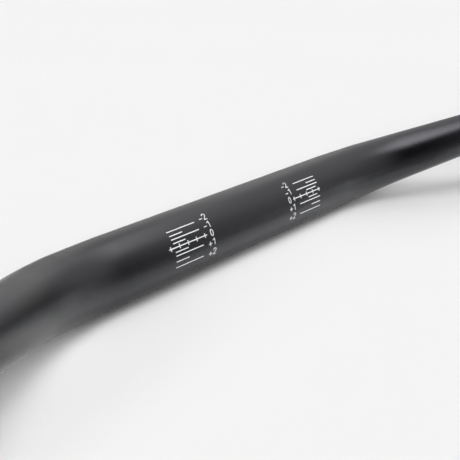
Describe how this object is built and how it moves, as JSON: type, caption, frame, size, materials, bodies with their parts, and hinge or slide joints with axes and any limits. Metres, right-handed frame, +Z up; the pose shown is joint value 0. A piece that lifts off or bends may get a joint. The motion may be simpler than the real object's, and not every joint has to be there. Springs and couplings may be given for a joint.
{
  "type": "bicycle handlebar",
  "caption": "Riser handlebar: one hollow aluminium tube with a thick middle for a stem clamp, tapered and bent up and back to thinner open ends for grips and levers.",
  "frame": {"origin": "centre of the stem clamp section, on the bar's axis, midway between the two tips", "axes": "+X along the bar's middle section, toward its right end as ridden. +Z is up from the floor that the bar lies on, with its middle and both tips touching it. The rise points toward -Y, about 26 degrees above the floor."},
  "size_m": [0.805, 0.1301, 0.0564],
  "materials": {
    "black_anodised_aluminium": "matte bead-blasted black anodising"
  },
  "bodies": {
    "root": {"handlebar_tube": "black_anodised_aluminium"}
  },
  "joints": []
}
